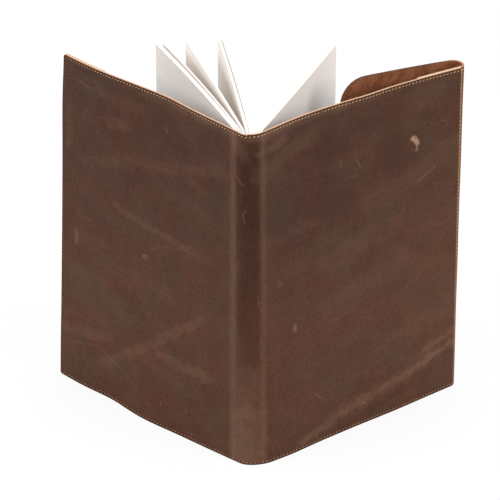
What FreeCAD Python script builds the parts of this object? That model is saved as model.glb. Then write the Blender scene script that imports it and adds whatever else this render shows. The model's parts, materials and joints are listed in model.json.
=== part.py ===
"""Leather journal: a soft leather cover with a fold-in flap, standing open around its notebook.

Frame: millimetres, +Z up. The origin is the bottom edge of the spine, at the middle of its leather.
The covers open symmetrically about +Y: the front cover goes to -X and +Y, the back cover to +X and +Y.
"""
import FreeCAD, Part
import math
import os
import Sketcher

SIZES = {
    # notebook's pages, which the cover is cut to fit
    "page_width": 139.7,
    "page_height": 215.9,
    # leather cover
    "cover_margin": 3.4,            # how far it stands above and below the pages
    "front_margin": 13.3,           # page width to front cover's width, from crease to fore edge
    "back_margin": 10.1,            # page width to back cover's width, from crease to the flap's fold
    "leather_thickness": 1.4,
    "half_opening": 48.7,           # each cover's angle from +Y, in degrees
    "spine_radius": 14.5,           # outer face of the rounded spine
    "corner_radius": 2.0,           # fore-edge corners of the front cover
    "crease_gap": 0.3,              # running clearance at both creases of the spine
    # soft front cover, which is twisted and bowed: for its bottom and top edges, the angle of the
    # edge past the cover's mean plane, and the angle between the edge's chord and its ends
    "low_edge_turn": -0.6,
    "low_edge_bow": -1.7,
    "top_edge_turn": 1.0,
    "top_edge_bow": 1.6,
    # flap that continues the back cover and is folded in
    "fold_radius": 5.1,             # outer face of the fold
    "fold_gap": 0.6,                # running clearance at the crest of the fold
    "flap_opening": 13.0,           # the flap's angle from the back cover, in degrees
    "flap_width": 78.7,             # end of the fold to the free edge
    "flap_corner_radius": 16.6,
    # strips sewn inside the covers, which hold the notebook
    "strip_width": 36.5,
    "strip_thickness": 1.2,
    "strip_seam": 4.0,              # sewn margin, where the strip lies flat on the cover
    "strip_ramp": 2.0,              # length over which the strip rises onto the card
    # the notebook's card cover and the root of its pages
    "card_thickness": 0.5,
    "card_play": 0.1,               # clearance on both sides of the card, under the strip
    "card_inset": 1.7,              # page width less the card's reach from the crease
    "card_relief": 1.3,             # the card stops this far from each crease
    "spine_play": 0.2,              # clearance between the curved layers at the spine
    "root_depth": 3.0,              # from the page block's back to the line where the pages part
    "root_lap": 1.0,                # how far the root runs up among the pages
    # edge stitching
    "stitch_inset": 2.5,            # cut edge to the middle of the row
    "stitch_width": 0.7,
    "stitch_rise": 0.3,             # how far the thread stands on the leather
    "stitch_relief": 1.2,           # the row stops this far from each crease
    # groups of pages from left to right: thickness, and angle from +Y in degrees
    "left_pages_thickness": 3.2,
    "left_pages_angle": -25.3,
    "left_leaf_thickness": 0.6,
    "left_leaf_angle": -23.9,
    "middle_pages_thickness": 2.4,
    "middle_pages_angle": -19.2,
    "inner_pages_thickness": 2.2,
    "inner_pages_angle": -11.9,
    "inner_leaf_thickness": 0.5,
    "inner_leaf_angle": -10.9,
    "right_pages_thickness": 4.3,
    "right_pages_angle": 17.3,
}

PAGE_GROUPS = ["left_pages", "left_leaf", "middle_pages", "inner_pages", "inner_leaf", "right_pages"]


class Size:
    """A length or angle: its number, and the formula that ties it to the sheet."""

    def __init__(self, value, formula=None):
        self.value = value
        self.formula = formula or repr(value)

    @staticmethod
    def of(other):
        return other if isinstance(other, Size) else Size(other)

    def joined(self, other, sign, value):
        return Size(value, f"({self.formula} {sign} {Size.of(other).formula})")

    def __add__(self, other):
        return self.joined(other, "+", self.value + Size.of(other).value)

    def __sub__(self, other):
        return self.joined(other, "-", self.value - Size.of(other).value)

    def __mul__(self, other):
        return self.joined(other, "*", self.value * Size.of(other).value)

    def __truediv__(self, other):
        return self.joined(other, "/", self.value / Size.of(other).value)

    def __neg__(self):
        return self * -1


def sine(angle):
    return Size(math.sin(math.radians(angle.value)), f"sin({angle.formula} * 1deg)")


def cosine(angle):
    return Size(math.cos(math.radians(angle.value)), f"cos({angle.formula} * 1deg)")


def polar(centre, radius, angle):
    """The point at an angle from +X on a circle."""
    return centre[0] + radius * cosine(angle), centre[1] + radius * sine(angle)


doc = FreeCAD.newDocument("leather_journal")
sheet = doc.addObject("Spreadsheet::Sheet", "Sizes")
for row, (alias, value) in enumerate(SIZES.items(), start=1):
    sheet.set(f"A{row}", alias)
    sheet.set(f"B{row}", str(value))
    sheet.setAlias(f"B{row}", alias)
doc.recompute()


def size(alias):
    return Size(float(sheet.get(alias)), "Sizes." + alias)


ZERO = Size(0.0)
HEIGHT = size("page_height") + size("cover_margin") * 2
FRONT_WIDTH = size("page_width") + size("front_margin")
BACK_WIDTH = size("page_width") + size("back_margin")
HALF_LEATHER = size("leather_thickness") / 2
SPINE_HALF_TURN = Size(90.0) - size("half_opening")
SPINE_MID_RADIUS = size("spine_radius") - HALF_LEATHER
SPINE_INNER_RADIUS = SPINE_MID_RADIUS - HALF_LEATHER
SPINE_CENTRE = (ZERO, SPINE_MID_RADIUS)
CREASE_X = SPINE_MID_RADIUS * sine(SPINE_HALF_TURN)
CREASE_Y = SPINE_MID_RADIUS - SPINE_MID_RADIUS * cosine(SPINE_HALF_TURN)
CARD_RADIUS = SPINE_INNER_RADIUS - size("spine_play")
FOLD_INNER_RADIUS = size("fold_radius") - size("leather_thickness")
FOLD_CENTRE = (BACK_WIDTH, size("fold_radius") - HALF_LEATHER)
PARTS = []


def new_part(label, base=(ZERO, ZERO), turn=ZERO):
    """A body that stands at a point of the plan, turned about +Z."""
    body = doc.addObject("PartDesign::Body", label)
    body.Label = label
    body.setExpression("Placement.Base.x", base[0].formula)
    body.setExpression("Placement.Base.y", base[1].formula)
    body.setExpression("Placement.Rotation.Angle", turn.formula + " * 1deg")
    PARTS.append(body)
    return body


def draw(body, path, plane="XY_Plane", lift=ZERO):
    """A closed sketch. Each entry of the path is a corner (x, y), or (x, y, centre, radius, turn)
    where an arc leaves it: turn is 1 anticlockwise and -1 clockwise."""
    sketch = body.newObject("Sketcher::SketchObject", body.Label + "_outline")
    origin_plane = [item for item in body.Origin.OriginFeatures if item.Role == plane][0]
    sketch.AttachmentSupport = [(origin_plane, "")]
    sketch.MapMode = "FlatFace"
    sketch.setExpression("AttachmentOffset.Base.z", lift.formula)
    ends = []
    for corner, following in zip(path, path[1:] + path[:1]):
        start = FreeCAD.Vector(corner[0].value, corner[1].value, 0)
        finish = FreeCAD.Vector(following[0].value, following[1].value, 0)
        if len(corner) == 2:
            edge = sketch.addGeometry(Part.LineSegment(start, finish), False)
            ends.append((edge, 1, 2))
            continue
        _, _, centre, radius, turn = corner
        middle = FreeCAD.Vector(centre[0].value, centre[1].value, 0)
        first, last = (start, finish) if turn > 0 else (finish, start)
        angles = [math.atan2(point.y - middle.y, point.x - middle.x) for point in (first, last)]
        circle = Part.Circle(middle, FreeCAD.Vector(0, 0, 1), radius.value)
        edge = sketch.addGeometry(Part.ArcOfCircle(circle, *angles), False)
        ends.append((edge, 1, 2) if turn > 0 else (edge, 2, 1))
        bind(sketch, Sketcher.Constraint("Radius", edge, radius.value), radius)
    for (edge, start, finish), (next_edge, next_start, _), corner in zip(ends, ends[1:] + ends[:1], path):
        sketch.addConstraint(Sketcher.Constraint("Coincident", edge, finish, next_edge, next_start))
        for kind, place in (("DistanceX", corner[0]), ("DistanceY", corner[1])):
            bind(sketch, Sketcher.Constraint(kind, -1, 1, edge, start, place.value), place)
    return sketch


def bind(sketch, constraint, wanted):
    index = sketch.addConstraint(constraint)
    sketch.setExpression(f"Constraints[{index}]", wanted.formula)


def pad(body, sketch, length, reverse=False):
    feature = body.newObject("PartDesign::Pad", sketch.Label + "_pad")
    feature.Profile = sketch
    feature.Reversed = reverse
    feature.setExpression("Length", length.formula)
    return feature


def rectangle(x0, x1, y0, y1):
    return [(x0, y0), (x1, y0), (x1, y1), (x0, y1)]


def round_corners(body, feature, edge_x, radius):
    """Rounds the top and bottom corners of a panel at its free edge."""
    doc.recompute()
    picked = []
    for index, edge in enumerate(feature.Shape.Edges, start=1):
        xs = [vertex.X for vertex in edge.Vertexes]
        zs = [vertex.Z for vertex in edge.Vertexes]
        if max(abs(value - edge_x.value) for value in xs) < 1e-4 and max(zs) - min(zs) < 1e-4:
            picked.append(f"Edge{index}")
    fillet = body.newObject("PartDesign::Fillet", body.Label + "_corners")
    fillet.Base = (feature, picked)
    fillet.setExpression("Radius", radius.formula)
    return fillet


def on_cover(label, side):
    """A body in a cover's own frame: X runs from the crease to the fore edge (negative on the
    front cover), Y points into the journal, and Z is up."""
    return new_part(label, (CREASE_X * side, CREASE_Y), SPINE_HALF_TURN * side)


def crease_end(side):
    """The rounded end of a cover's leather, about the crease's axis."""
    half = HALF_LEATHER
    axis = (ZERO, ZERO)
    turn = -side
    return [(ZERO, -half, axis, half, turn), (-half * side, ZERO, axis, half, turn), (ZERO, half)]


class FrontLine:
    """The line that the front cover's leather follows at one height, in the cover's own frame:
    an arc from the crease, as long as the cover is wide."""

    def __init__(self, z):
        share = z / HEIGHT
        turn, bow = [
            size("low_edge_" + name) + (size("top_edge_" + name) - size("low_edge_" + name)) * share
            for name in ("turn", "bow")
        ]
        self.first_heading = turn + bow
        self.bow = bow
        self.radius = -(FRONT_WIDTH / (bow * (math.pi / 90)))
        self.centre = self.beside((ZERO, ZERO), self.first_heading, self.radius)

    def beside(self, point, heading, inward):
        """A point moved at a right angle to a heading."""
        return point[0] + inward * sine(heading), point[1] + inward * cosine(heading)

    def point(self, along, inward):
        heading = self.first_heading - self.bow * 2 * along / FRONT_WIDTH
        return self.beside(self.centre, heading, inward - self.radius)

    def path(self, corners):
        """A closed path through (along, inward) corners: an arc where inward stays the same."""
        points = []
        for (along, inward), (next_along, next_inward) in zip(corners, corners[1:] + corners[:1]):
            point = self.point(along, inward)
            if abs(next_inward.value - inward.value) < 1e-9:
                outwards = 1 if next_along.value > along.value else -1
                bend = 1 if self.bow.value > 0 else -1
                radius = (self.radius - inward) * -bend
                point = (*point, self.centre, radius, outwards * bend)
            points.append(point)
        return points


def loft(body, paths, heights):
    """A solid ruled between two closed paths, each at its height."""
    low, high = [draw(body, path, lift=height) for path, height in zip(paths, heights)]
    feature = body.newObject("PartDesign::AdditiveLoft", low.Label + "_loft")
    feature.Profile = low
    feature.Sections = [high]
    feature.Ruled = True
    return feature


def front_panel(body, corners, low, high):
    """A layer of the front cover between two heights, from its (along, inward) corners."""
    return loft(body, [FrontLine(z).path(corners) for z in (low, high)], (low, high))


def cut_corners(body, corner):
    """Rounds the fore-edge corners of a layer of the front cover, seen square on to the cover."""
    beyond = Size(2.0)
    for z, inwards in ((ZERO, 1), (HEIGHT, -1)):
        edge = FrontLine(z).point(FRONT_WIDTH, ZERO)[0]
        middle = (edge + corner, z + corner * inwards)
        path = [
            (middle[0], z - beyond * inwards), (edge - beyond, z - beyond * inwards), (edge - beyond, middle[1]),
            (edge, middle[1], middle, corner, inwards), (middle[0], z),
        ]
        pocket = body.newObject("PartDesign::Pocket", body.Label + "_corner")
        pocket.Profile = draw(body, path, plane="XZ_Plane")
        pocket.Type = "ThroughAll"
        pocket.Midplane = True


def front_leather():
    body = on_cover("front_leather", -1)
    half = HALF_LEATHER
    axis = (ZERO, ZERO)
    paths = []
    for line in (FrontLine(ZERO), FrontLine(HEIGHT)):
        outer = line.path([(ZERO, -half), (FRONT_WIDTH, -half), (FRONT_WIDTH, half), (ZERO, half)])
        tip = (half * cosine(line.first_heading), -(half * sine(line.first_heading)))
        paths.append(outer[:3] + [(*outer[3], axis, half, -1), (*tip, axis, half, -1)])
    loft(body, paths, (ZERO, HEIGHT))
    cut_corners(body, size("corner_radius"))


def back_leather():
    """The back cover, with the first half of the flap's fold."""
    body = on_cover("back_leather", 1)
    outer = size("fold_radius")
    inner = FOLD_INNER_RADIUS
    width = BACK_WIDTH
    centre_y = FOLD_CENTRE[1]
    stop = centre_y - size("fold_gap") / 2
    path = crease_end(1) + [
        (width, HALF_LEATHER, FOLD_CENTRE, inner, 1),
        (width + reach(inner), stop),
        (width + reach(outer), stop, FOLD_CENTRE, outer, -1),
        (width, -HALF_LEATHER),
    ]
    pad(body, draw(body, path), HEIGHT)


def reach(radius):
    """How far a ring of the fold stands out where the fold's gap cuts it."""
    half_gap = size("fold_gap") / 2
    squared = radius * radius - half_gap * half_gap
    return Size(math.sqrt(squared.value), f"sqrt({squared.formula})")


def in_flap(label):
    """A body in the flap's own frame: the origin is the fold's centre, and the flap runs to -X."""
    turn = SPINE_HALF_TURN
    shift_x = FOLD_CENTRE[0] * cosine(turn) - FOLD_CENTRE[1] * sine(turn)
    shift_y = FOLD_CENTRE[0] * sine(turn) + FOLD_CENTRE[1] * cosine(turn)
    return new_part(label, (CREASE_X + shift_x, CREASE_Y + shift_y), turn - size("flap_opening"))


def flap_leather():
    """The flap, with the second half of the fold."""
    body = in_flap("flap_leather")
    outer = size("fold_radius")
    inner = FOLD_INNER_RADIUS
    centre = (ZERO, ZERO)
    free_edge = -size("flap_width")
    path = [
        (ZERO, inner, centre, inner, -1),
        gap_point(inner),
        (*gap_point(outer), centre, outer, 1),
        (ZERO, outer),
        (free_edge, outer),
        (free_edge, inner),
    ]
    panel = pad(body, draw(body, path), HEIGHT)
    round_corners(body, panel, free_edge, size("flap_corner_radius"))


def gap_point(radius):
    """Where the fold's gap cuts a ring, in the flap's frame."""
    opening = size("flap_opening")
    along = reach(radius)
    across = size("fold_gap") / 2
    return along * cosine(opening) - across * sine(opening), along * sine(opening) + across * cosine(opening)


def spine_band(label, inner, outer, half_angle, height, bottom=ZERO):
    """A curved band about the spine's centre, open towards +Y."""
    body = new_part(label)
    down = Size(-90.0)
    left = down - half_angle
    right = down + half_angle
    path = [
        (*polar(SPINE_CENTRE, outer, left), SPINE_CENTRE, outer, 1),
        polar(SPINE_CENTRE, outer, right),
        (*polar(SPINE_CENTRE, inner, right), SPINE_CENTRE, inner, -1),
        polar(SPINE_CENTRE, inner, left),
    ]
    pad(body, draw(body, path, lift=bottom), height)
    return body


def spine_leather():
    """The rounded spine, with a hollow along each side for the cover's crease."""
    body = spine_band("spine_leather", SPINE_INNER_RADIUS, size("spine_radius"), SPINE_HALF_TURN, HEIGHT)
    sketch = body.newObject("Sketcher::SketchObject", "crease_circles")
    origin_plane = [item for item in body.Origin.OriginFeatures if item.Role == "XY_Plane"][0]
    sketch.AttachmentSupport = [(origin_plane, "")]
    sketch.MapMode = "FlatFace"
    clearance = HALF_LEATHER + size("crease_gap")
    for side in (-1, 1):
        centre = (CREASE_X * side, CREASE_Y)
        middle = FreeCAD.Vector(centre[0].value, centre[1].value, 0)
        circle = sketch.addGeometry(Part.Circle(middle, FreeCAD.Vector(0, 0, 1), clearance.value), False)
        bind(sketch, Sketcher.Constraint("Radius", circle, clearance.value), clearance)
        bind(sketch, Sketcher.Constraint("DistanceX", -1, 1, circle, 3, middle.x), centre[0])
        bind(sketch, Sketcher.Constraint("DistanceY", -1, 1, circle, 3, middle.y), centre[1])
    pocket = body.newObject("PartDesign::Pocket", "creases")
    pocket.Profile = sketch
    pocket.Reversed = True
    pocket.setExpression("Length", HEIGHT.formula)


def strip_corners(width):
    """A strip sewn to a cover along its fore edge, raised over the notebook's card."""
    seam = width - size("strip_seam")
    ramp = seam - size("strip_ramp")
    inner_edge = width - size("strip_width")
    low = HALF_LEATHER
    high = HALF_LEATHER + size("card_thickness") + size("card_play") * 2
    thick = size("strip_thickness")
    return [
        (width, low), (width, low + thick), (seam, low + thick), (ramp, high + thick),
        (inner_edge, high + thick), (inner_edge, high), (ramp, high), (seam, low),
    ]


def front_strip():
    body = on_cover("front_strip", -1)
    front_panel(body, strip_corners(FRONT_WIDTH), ZERO, HEIGHT)
    cut_corners(body, size("corner_radius"))


def back_strip():
    body = on_cover("back_strip", 1)
    pad(body, draw(body, strip_corners(BACK_WIDTH)), HEIGHT)


def card_corners():
    """One side of the notebook's card cover, on the inside of a cover's leather."""
    far = size("page_width") - size("card_inset")
    low = HALF_LEATHER + size("card_play")
    return rectangle(size("card_relief"), far, low, low + size("card_thickness"))


def notebook_front():
    bottom = size("cover_margin")
    front_panel(on_cover("notebook_front", -1), card_corners(), bottom, bottom + size("page_height"))


def notebook_back():
    body = on_cover("notebook_back", 1)
    pad(body, draw(body, card_corners(), lift=size("cover_margin")), size("page_height"))


def notebook_spine():
    """The rounded back of the notebook's card cover, between its two creases."""
    half_angle = SPINE_HALF_TURN - size("card_relief") / CARD_RADIUS * (180 / math.pi)
    inner = CARD_RADIUS - size("card_thickness")
    spine_band("notebook_spine", inner, CARD_RADIUS, half_angle, size("page_height"), size("cover_margin"))


def text_block():
    """The pages as one solid: a rounded root glued to the notebook's spine, and a fan of groups."""
    body = new_part("text_block")
    back_radius = CARD_RADIUS - size("card_thickness") - size("spine_play")
    total = ZERO
    for name in PAGE_GROUPS:
        total = total + size(name + "_thickness")
    half = total / 2
    sunk = back_radius * back_radius - half * half
    back_y = SPINE_MID_RADIUS - Size(math.sqrt(sunk.value), f"sqrt({sunk.formula})")
    root_y = SPINE_MID_RADIUS - back_radius + size("root_depth")
    height = size("page_height")
    top_y = root_y + size("root_lap")
    path = [(-half, back_y, SPINE_CENTRE, back_radius, 1), (half, back_y), (half, top_y), (-half, top_y)]
    pad(body, draw(body, path, lift=size("cover_margin")), height)
    across = -half
    for name in PAGE_GROUPS:
        thickness = size(name + "_thickness")
        angle = size(name + "_angle")
        middle = across + thickness / 2
        out = (size("page_width") * sine(angle), size("page_width") * cosine(angle))
        wide = (thickness / 2 * cosine(angle), thickness / 2 * sine(angle))
        path = [
            (middle - wide[0], root_y + wide[1]),
            (middle + wide[0], root_y - wide[1]),
            (middle + wide[0] + out[0], root_y - wide[1] + out[1]),
            (middle - wide[0] + out[0], root_y + wide[1] + out[1]),
        ]
        pad(body, draw(body, path, lift=size("cover_margin")), height)
        across = across + thickness


def stitch_lines(free, near, corner):
    """The row of thread round three sides of a panel, from near the crease and back to it."""
    outer = size("stitch_inset") - size("stitch_width") / 2
    inner = size("stitch_inset") + size("stitch_width") / 2
    sign = 1 if free.value > 0 else -1
    path = [(near, HEIGHT - outer)]
    for inset, order in ((outer, 1), (inner, -1)):
        radius = corner - inset
        edge = free - inset * sign
        turn_x = free - corner * sign
        top = [(turn_x, HEIGHT - inset, (turn_x, HEIGHT - corner), radius, -sign), (edge, HEIGHT - corner)]
        low = [(edge, corner, (turn_x, corner), radius, -sign), (turn_x, inset)]
        if order > 0:
            path += top + low + [(near, inset)]
            continue
        low = [(turn_x, inset, (turn_x, corner), radius, sign), (edge, corner)]
        top = [(edge, HEIGHT - corner, (turn_x, HEIGHT - corner), radius, sign), (turn_x, HEIGHT - inset)]
        path += [(near, inset)] + low + top + [(near, HEIGHT - inset)]
    return path


def front_stitching():
    """The row round three sides of the front cover, as a band along each side."""
    body = on_cover("front_stitching", -1)
    near = size("stitch_relief")
    outer = size("stitch_inset") - size("stitch_width") / 2
    inner = size("stitch_inset") + size("stitch_width") / 2
    edge = FRONT_WIDTH - outer
    for start, low, high in (
        (near, outer, inner),
        (near, HEIGHT - inner, HEIGHT - outer),
        (FRONT_WIDTH - inner, inner, HEIGHT - inner),
    ):
        band = rectangle(start, edge, -HALF_LEATHER - size("stitch_rise"), -HALF_LEATHER)
        front_panel(body, band, low, high)


def back_stitching():
    body = on_cover("back_stitching", 1)
    corner = size("stitch_inset") + size("stitch_width")
    path = stitch_lines(BACK_WIDTH, size("stitch_relief"), corner)
    pad(body, draw(body, path, plane="XZ_Plane", lift=HALF_LEATHER), size("stitch_rise"))


def flap_stitching():
    """The row round the flap, on the side that faces the back cover."""
    body = in_flap("flap_stitching")
    path = stitch_lines(-size("flap_width"), -size("stitch_relief"), size("flap_corner_radius"))
    pad(body, draw(body, path, plane="XZ_Plane", lift=-FOLD_INNER_RADIUS), size("stitch_rise"))


def spine_stitching():
    """Two rows round the outside of the spine, near its top and its bottom."""
    inner = size("spine_radius")
    relief = size("stitch_relief") / inner * (180 / math.pi)
    low = size("stitch_inset") - size("stitch_width") / 2
    high = HEIGHT - size("stitch_inset") - size("stitch_width") / 2
    rows = []
    for name, bottom in (("bottom_row", low), ("top_row", high)):
        row = spine_band(name, inner, inner + size("stitch_rise"), SPINE_HALF_TURN - relief,
                         size("stitch_width"), bottom)
        rows.append(row)
        PARTS.remove(row)
    both = doc.addObject("Part::Compound", "spine_stitching")
    both.Label = "spine_stitching"
    both.Links = rows
    PARTS.append(both)


spine_leather()
front_leather()
back_leather()
flap_leather()
front_strip()
back_strip()
notebook_spine()
notebook_front()
notebook_back()
text_block()
spine_stitching()
front_stitching()
back_stitching()
flap_stitching()

doc.recompute()
for item in doc.Objects:
    if "Invalid" in item.State or "Error" in item.State:
        raise RuntimeError(f"{item.Label} failed: {item.State}")
os.makedirs("parts", exist_ok=True)
for part in PARTS:
    if part.Shape.isNull() or not part.Shape.isValid():
        raise RuntimeError(f"{part.Label} has no valid shape")
    part.Shape.exportStep(f"parts/{part.Label}.step")
    print(part.Label, len(part.Shape.Solids), "solid,", round(part.Shape.Volume / 1000, 2), "cm3")
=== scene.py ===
import json
import math
import random

import bmesh
import bpy
import numpy as np
from mathutils import Matrix, Vector, noise


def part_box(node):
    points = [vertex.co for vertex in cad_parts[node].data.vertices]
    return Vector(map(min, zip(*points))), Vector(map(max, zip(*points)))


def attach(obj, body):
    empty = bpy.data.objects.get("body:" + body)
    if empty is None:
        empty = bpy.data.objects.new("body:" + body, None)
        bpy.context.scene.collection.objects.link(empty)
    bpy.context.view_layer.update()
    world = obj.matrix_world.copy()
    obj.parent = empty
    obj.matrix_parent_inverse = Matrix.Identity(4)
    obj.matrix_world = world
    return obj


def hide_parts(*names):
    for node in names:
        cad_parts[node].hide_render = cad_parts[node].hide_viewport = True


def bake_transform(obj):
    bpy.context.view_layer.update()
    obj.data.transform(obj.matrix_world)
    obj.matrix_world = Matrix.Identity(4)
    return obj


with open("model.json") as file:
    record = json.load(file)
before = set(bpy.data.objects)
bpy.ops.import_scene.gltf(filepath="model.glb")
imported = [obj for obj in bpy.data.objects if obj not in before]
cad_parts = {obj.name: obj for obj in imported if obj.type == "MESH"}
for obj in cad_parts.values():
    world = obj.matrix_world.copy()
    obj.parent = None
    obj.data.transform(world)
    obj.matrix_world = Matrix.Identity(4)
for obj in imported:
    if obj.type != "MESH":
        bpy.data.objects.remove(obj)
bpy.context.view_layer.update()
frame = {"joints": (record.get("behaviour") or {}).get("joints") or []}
joints = {joint["name"]: joint for joint in frame["joints"]}
mm = 0.001

# the leather as the frame has it; distances along it start at the middle of the spine
frontCrease = Vector(joints["front_cover_crease"]["pos_m"])
backCrease = Vector(joints["back_cover_crease"]["pos_m"])
flapCrest = Vector(joints["flap_fold"]["pos_m"])
coverTurn = math.radians(joints["back_cover_crease"]["range_deg"][1])  # each cover's angle from the X axis
boardWay = Vector((math.cos(coverTurn), math.sin(coverTurn), 0))
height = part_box("spine_leather")[1].z
halfLeather = -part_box("spine_leather")[0].y
creaseReach = backCrease.x / math.sin(coverTurn) * coverTurn
solidEdge = {"turn": -0.6, "bow": -1.7}            # bottom edge of the solid front cover, in degrees
lowTurn, lowBow = coverTurn + math.radians(solidEdge["turn"]), math.radians(solidEdge["bow"])
lowEdge = -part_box("front_leather")[0].x - backCrease.x - halfLeather * math.sin(lowTurn - lowBow)
frontReach = creaseReach + lowEdge / math.cos(lowTurn) * lowBow / math.sin(lowBow)
foldDepth = (flapCrest - backCrease).cross(boardWay).z * -1
backReach = creaseReach + (flapCrest - backCrease).dot(boardWay) - foldDepth - halfLeather
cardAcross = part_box("notebook_back")[1].x - backCrease.x + halfLeather * boardWay.y
cardReach = creaseReach + cardAcross / boardWay.x
pageLow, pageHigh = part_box("text_block")[0].z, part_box("text_block")[1].z

# how the soft covers stand: angles in degrees and lengths in mm, at the bottom edge and at the top edge
coverShape = {
    "front": {"side": -1, "reach": frontReach, "chord": (40.35, 43.3), "bow": (-3.5, 3.3),
              "stretch": (1.010, 1.006), "spineHalf": (5.9, 4.6), "topRise": (1.3, -2.2),
              # soft bulges: where (along, z), how wide, and how far they stand in, all in mm
              "bulges": [(84, 0, 20, -1.3), (117, 0, 17, 1.5), (164, 223, 9, 1.0), (128, 223, 24, -1.5),
                         (72, 223, 17, 1.3), (164, 115, 30, 0.6)]},
    "back": {"side": 1, "reach": backReach, "chord": (42.65, 41.0), "bow": (0.0, 6.2),
             "stretch": (1.008, 0.997), "spineHalf": (15.5, 9.4), "topRise": (1.6, 0.3),
             "bulges": [(30, 0, 16, -0.9), (112, 0, 24, -0.8), (42, 223, 24, 1.3), (91, 223, 14, -0.9)],
             "foldRadius": (4.6, 5.9), "foldTurn": (168.0, 170.0), "flapCurl": (0.0, 5.0)},
}
spineDrift = {"x": (0.3, -0.8), "y": (-0.8, -0.3)}  # the spine's middle, in mm
flapReach = backReach + 90.3 * mm                  # round the fold to the flap's free edge
flapCorner = 16.6 * mm
coverCorner = 2.0 * mm
# slow unevenness of the sheet in mm, which starts past the spine, and how much taller than wide a bulge is
waviness = {"height": 0.2, "size": 46.0, "seed": (3.1, 7.7, 1.3), "start": 30, "bulgeTall": 2.5}
# stitched rows, in mm; "inside" is the share of the groove's depth inside the journal
seamRow = {"inset": 1.7, "groove": 0.2, "spread": 0.55, "pastFold": 1.9, "inside": 0.7}
flapSeam = backReach + seamRow["pastFold"] * mm    # the back cover and the flap meet under the fold's row


def between(pair, up):
    return pair[0] + (pair[1] - pair[0]) * up


def walkArcs(along, arcs):
    # place and heading after a distance along a chain of arcs, each a length and a turn
    x, y, heading, left = (np.zeros_like(along), np.zeros_like(along), np.zeros_like(along), along)
    for index, (length, turn) in enumerate(arcs):
        step = left if index == len(arcs) - 1 else np.minimum(left, length)
        step = np.maximum(step, 0)
        half = turn * step / length / 2
        chord = step * np.sinc(half / np.pi)
        x = x + chord * np.cos(heading + half)
        y = y + chord * np.sin(heading + half)
        heading = heading + 2 * half
        left = left - length
    return x, y, heading


def sheetWave(shape, along, z):
    point = Vector((shape["side"] * along / mm, z / mm, 0)) / waviness["size"] + Vector(waviness["seed"])
    calm = min(1.0, along / (waviness["start"] * mm))  # the spine keeps its even round
    wave = noise.noise(point) * waviness["height"] * calm
    for atAlong, atZ, size, lift in shape["bulges"]:
        tall = size * waviness["bulgeTall"]
        wave += lift * math.exp(-((along / mm - atAlong) / size) ** 2 - ((z / mm - atZ) / tall) ** 2)
    return wave * mm


def leatherPoints(cover, along, z, lift):
    # points of a cover: distance from the spine's middle, height, and lift into the journal
    shape = coverShape[cover]
    along, z, lift = (np.array(part, float) for part in np.broadcast_arrays(along, z, lift))
    wave = np.array([sheetWave(shape, a, b) for a, b in zip(along.flat, z.flat)]).reshape(z.shape)
    up = np.clip(z / height, 0, 1)
    reach = shape["reach"] * between(shape["stretch"], up)
    along = along + np.minimum(along, shape["reach"]) * (reach / shape["reach"] - 1)
    chord, bow = np.radians(between(shape["chord"], up)), np.radians(between(shape["bow"], up))
    spineHalf = between(shape["spineHalf"], up) * mm
    arcs = [(spineHalf, chord + bow), (reach - spineHalf, -2 * bow)]
    if cover == "back":
        turn = np.radians(between(shape["foldTurn"], up))
        foldLength = between(shape["foldRadius"], up) * mm * turn
        curl = np.radians(between(shape["flapCurl"], up))
        arcs += [(foldLength, turn), (flapReach - backReach - foldLength, curl)]
    x, y, heading = walkArcs(along, arcs)
    lift = lift + wave
    rise = between(shape["topRise"], np.clip(along / shape["reach"], 0, 1)) * mm / height
    x = shape["side"] * (x - np.sin(heading) * lift) + between(spineDrift["x"], up) * mm
    y = y + np.cos(heading) * lift + between(spineDrift["y"], up) * mm
    return np.stack([x, y, z * (1 + rise)], -1)


def edgeDistance(along, z, far, corner):
    # how far a point lies inside the top, bottom and rounded far edge of the leather
    inX, inZ = far - along, np.minimum(z, height - z)
    rounded = corner - np.hypot(corner - inX, corner - inZ)
    return np.where((inX < corner) & (inZ < corner), rounded, np.minimum(inX, inZ))


def farEdge(cover):
    # where the leather ends on this side of the spine, and how round its corners are
    return (frontReach, coverCorner) if cover == "front" else (flapReach, flapCorner)


def grooveDepth(cover, along, z):
    # the stitched rows are drawn a little into the leather
    off = edgeDistance(along, z, *farEdge(cover)) - seamRow["inset"] * mm
    if cover == "back":
        off = np.minimum(np.abs(off), np.abs(along - flapSeam))
    return seamRow["groove"] * mm * np.exp(-(off / (seamRow["spread"] * mm)) ** 2)


def stops(*pairs):
    # values from each (start, step) pair up to the next pair's start, the last value alone
    values = []
    for (start, step), (finish, _) in zip(pairs, pairs[1:]):
        count = max(1, round((finish - start) / step))
        values += [start + (finish - start) * index / count for index in range(count)]
    return np.array(values + [pairs[-1][0]])


# a sheet's rounded edge, its rows of points near the top and bottom edges and those between, all in mm
sheetMesh = {"round": 0.35, "border": (0, 0.5, 1.1, 1.6, 2.1, 2.6, 3.3, 4.2), "firstRow": 6.5, "rowStep": 4.6,
             "cornerSteps": 9, "least": 0.3, "roundTurns": (30, 60, 90)}
edgeRound = sheetMesh["round"] * mm


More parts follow.
